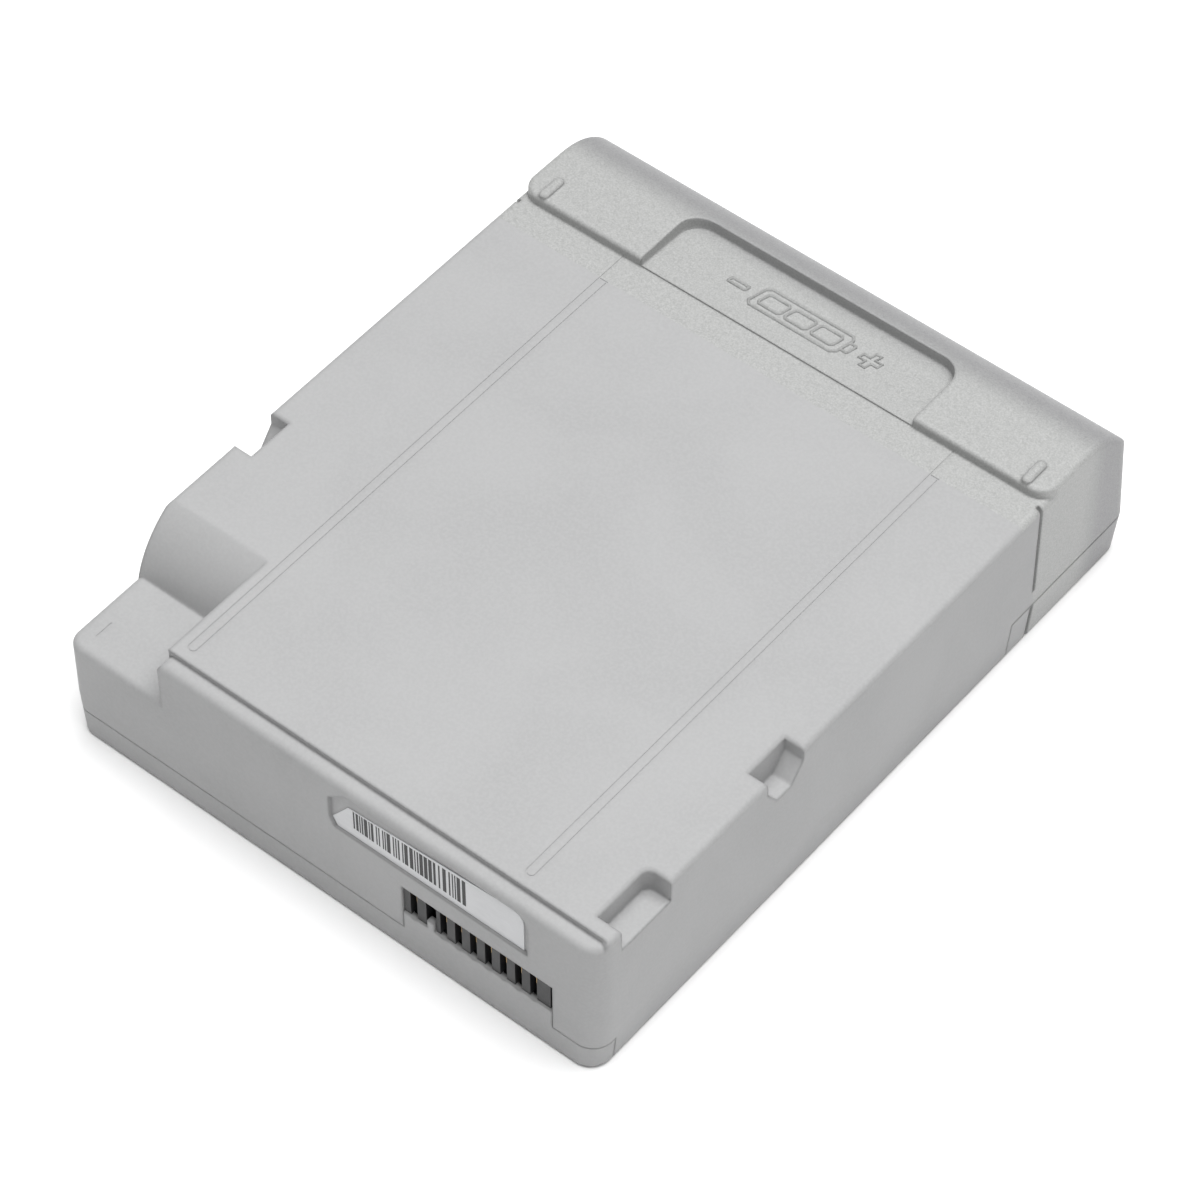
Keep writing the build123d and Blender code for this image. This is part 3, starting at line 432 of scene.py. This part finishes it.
# Dark tone and light tone
PAPERS = {
    "label_paper": ((0.56, 0.565, 0.575), (0.64, 0.645, 0.655)),
    "card_white": ((0.68, 0.67, 0.62), (0.80, 0.79, 0.74)),
    "paper_tan": ((0.36, 0.27, 0.16), (0.50, 0.40, 0.26)),
    "tape_white": ((0.74, 0.74, 0.73), (0.84, 0.84, 0.83)),
}
FINISHES = {"case_grey": CASE, "board_green": board_mask()}
for make, looks in ((plastic, PLASTICS), (metal, METALS), (paper, PAPERS)):
    for name, look in looks.items():
        FINISHES[name] = make(name, *look)
slot_of = {piece["node"]: piece["material_slot"] for piece in frame["record"]["subparts"]}
for name, node in frame["nodes"].items():
    node.data.materials.clear()
    node.data.materials.append(FINISHES[slot_of[name]])


def finish_piece(piece, material):
    """The material and slot of a piece that rides on the pack."""
    piece.data.materials.append(material)
    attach(piece, "root")


def new_mesh(name, points, faces):
    """A mesh in the scene, from its points and faces."""
    mesh = bpy.data.meshes.new(name)
    mesh.from_pydata(points, [], faces)
    mesh.update()
    piece = bpy.data.objects.new(name, mesh)
    bpy.context.collection.objects.link(piece)
    return piece


def bar_print():
    """Upright bars of uneven width on the label, as a row of thin inked plates."""
    order = random.Random(BAR_SEED)
    points, faces = [], []
    x = BARS_START
    while x < BARS_END:
        wide = order.choice(BAR_WIDTHS)
        share = (x - BARS_START) / (BARS_END - BARS_START)
        low, high = BAR_FOOT - BAR_FOOT_DROP * share, BAR_HEAD + BAR_HEAD_RISE * share
        corners = [(x, low), (x + wide, low), (x + wide, high), (x, high)]
        first = len(points)
        for depth in (0.0, BAR_PROUD):
            points += [place(px, LABEL_FACE - depth, pz) for px, pz in corners]
        faces.append([first + n for n in (4, 5, 6, 7)])
        for n in range(4):
            m = (n + 1) % 4
            faces.append([first + n, first + m, first + 4 + m, first + 4 + n])
        x += wide + order.choice(BAR_GAPS)
    finish_piece(new_mesh("label_bars", points, faces), bar_ink())


def recess_sign():
    """A raised outline of a battery between a minus and a plus, in the finger recess."""
    curve = bpy.data.curves.new("recess_sign", "CURVE")
    curve.dimensions = "3D"
    curve.bevel_depth = SIGN_ROD * MM
    curve.bevel_resolution = 3
    curve.use_fill_caps = True
    lean = math.tan(math.radians(SIGN_LEAN))

    def outline(corners):
        spline = curve.splines.new("POLY")
        spline.points.add(len(corners) - 1)
        for point, (x, y) in zip(spline.points, corners):
            spot = place(x + lean * y, SIGN_Y + y, RECESS_FLOOR + RECESS_SLOPE * y)
            point.co = (*spot, 1.0)
        spline.use_cyclic_u = True

    def box(x0, x1, half):
        cut = min(half, (x1 - x0) / 2) * SIGN_CUT
        outline(
            [
                (x0 + cut, -half),
                (x1 - cut, -half),
                (x1, -half + cut),
                (x1, half - cut),
                (x1 - cut, half),
                (x0 + cut, half),
                (x0, half - cut),
                (x0, -half + cut),
            ]
        )

    box(BODY_START, BODY_END, BODY_HALF)
    box(BODY_END, CAP_END, CAP_HALF)
    for n in range(CELL_MARKS):
        x = CELL_START + CELL_PITCH * n
        box(x, x + CELL_WIDE, CELL_HALF)
    box(MINUS_START, MINUS_END, STROKE_HALF)
    arm, half = PLUS_ARM, STROKE_HALF
    cross = [(half, arm), (-half, arm), (-half, half), (-arm, half), (-arm, -half), (-half, -half)]
    cross += [(-half, -arm), (half, -arm), (half, -half), (arm, -half), (arm, half), (half, half)]
    outline([(PLUS_X + x, y) for x, y in cross])
    piece = bpy.data.objects.new("recess_sign", curve)
    bpy.context.collection.objects.link(piece)
    finish_piece(piece, CASE)


bar_print()
recess_sign()


def floor():
    """A wide pale floor."""
    reach = 4.0
    corners = [(-reach, -reach, 0), (reach, -reach, 0), (reach, reach, 0), (-reach, reach, 0)]
    piece = new_mesh("floor", corners, [[0, 1, 2, 3]])
    material, tree, shader = new_material("floor_white", Roughness=0.9, Specular_IOR_Level=0.1)
    patches = use(tree, PATCHES, 3.0)
    colour = mix_colour(tree, patches.outputs["Tone"], (0.93, 0.93, 0.93), (0.95, 0.95, 0.95))
    join(tree, colour, shader.inputs["Base Color"])
    piece.data.materials.append(material)


def soft_light(name, spot, aim, size, power):
    """A square soft light that points at a place."""
    data = bpy.data.lights.new(name, "AREA")
    data.shape = "SQUARE"
    data.size = size
    data.energy = power
    light = bpy.data.objects.new(name, data)
    light.location = spot
    light.rotation_euler = (Vector(aim) - Vector(spot)).to_track_quat("-Z", "Y").to_euler()
    bpy.context.collection.objects.link(light)


def lights():
    """One wide soft light overhead, in a room that is dim at the sides and bright above."""
    soft_light("overhead", spot=(0.11, 0.02, 0.8), aim=(0, 0, 0), size=0.7, power=8.8)
    world = bpy.data.worlds.new("studio")
    world.use_nodes = True
    tree = world.node_tree
    sky = tree.nodes["Background"]
    sky.inputs["Color"].default_value = (1.0, 1.0, 1.0, 1.0)
    axes = add(tree, "ShaderNodeSeparateXYZ")
    join(tree, add(tree, "ShaderNodeTexCoord").outputs["Generated"], axes.inputs[0])
    dim, bright = 0.06, 0.55
    glow = step_between(tree, axes.outputs["Z"], 0.0, 0.9, dim, bright)
    join(tree, glow, sky.inputs["Strength"])
    bpy.context.scene.world = world
    bpy.context.scene.view_settings.view_transform = "Standard"


def camera():
    """The camera of the photograph, found from its straight edges and its outline."""
    turn, rise, roll = (math.radians(a) for a in (CAMERA_TURN, CAMERA_RISE, CAMERA_ROLL))
    level = math.cos(rise)
    back = Vector((math.sin(turn) * level, -math.cos(turn) * level, math.sin(rise)))
    right = Vector((math.cos(turn), math.sin(turn), 0.0))
    up = back.cross(right)
    right = math.cos(roll) * right + math.sin(roll) * up
    up = back.cross(right)
    data = bpy.data.cameras.new("photo_camera")
    data.sensor_width = CAMERA_SENSOR
    data.lens = CAMERA_LENS
    data.clip_start = 0.01
    data.clip_end = 20.0
    piece = bpy.data.objects.new("photo_camera", data)
    spot = (Vector(CAMERA_AIM) + back * CAMERA_FAR) * MM
    piece.matrix_world = Matrix(
        [[right[i], up[i], back[i], spot[i]] for i in range(3)] + [[0.0, 0.0, 0.0, 1.0]]
    )
    bpy.context.collection.objects.link(piece)
    bpy.context.scene.camera = piece


floor()
lights()
camera()
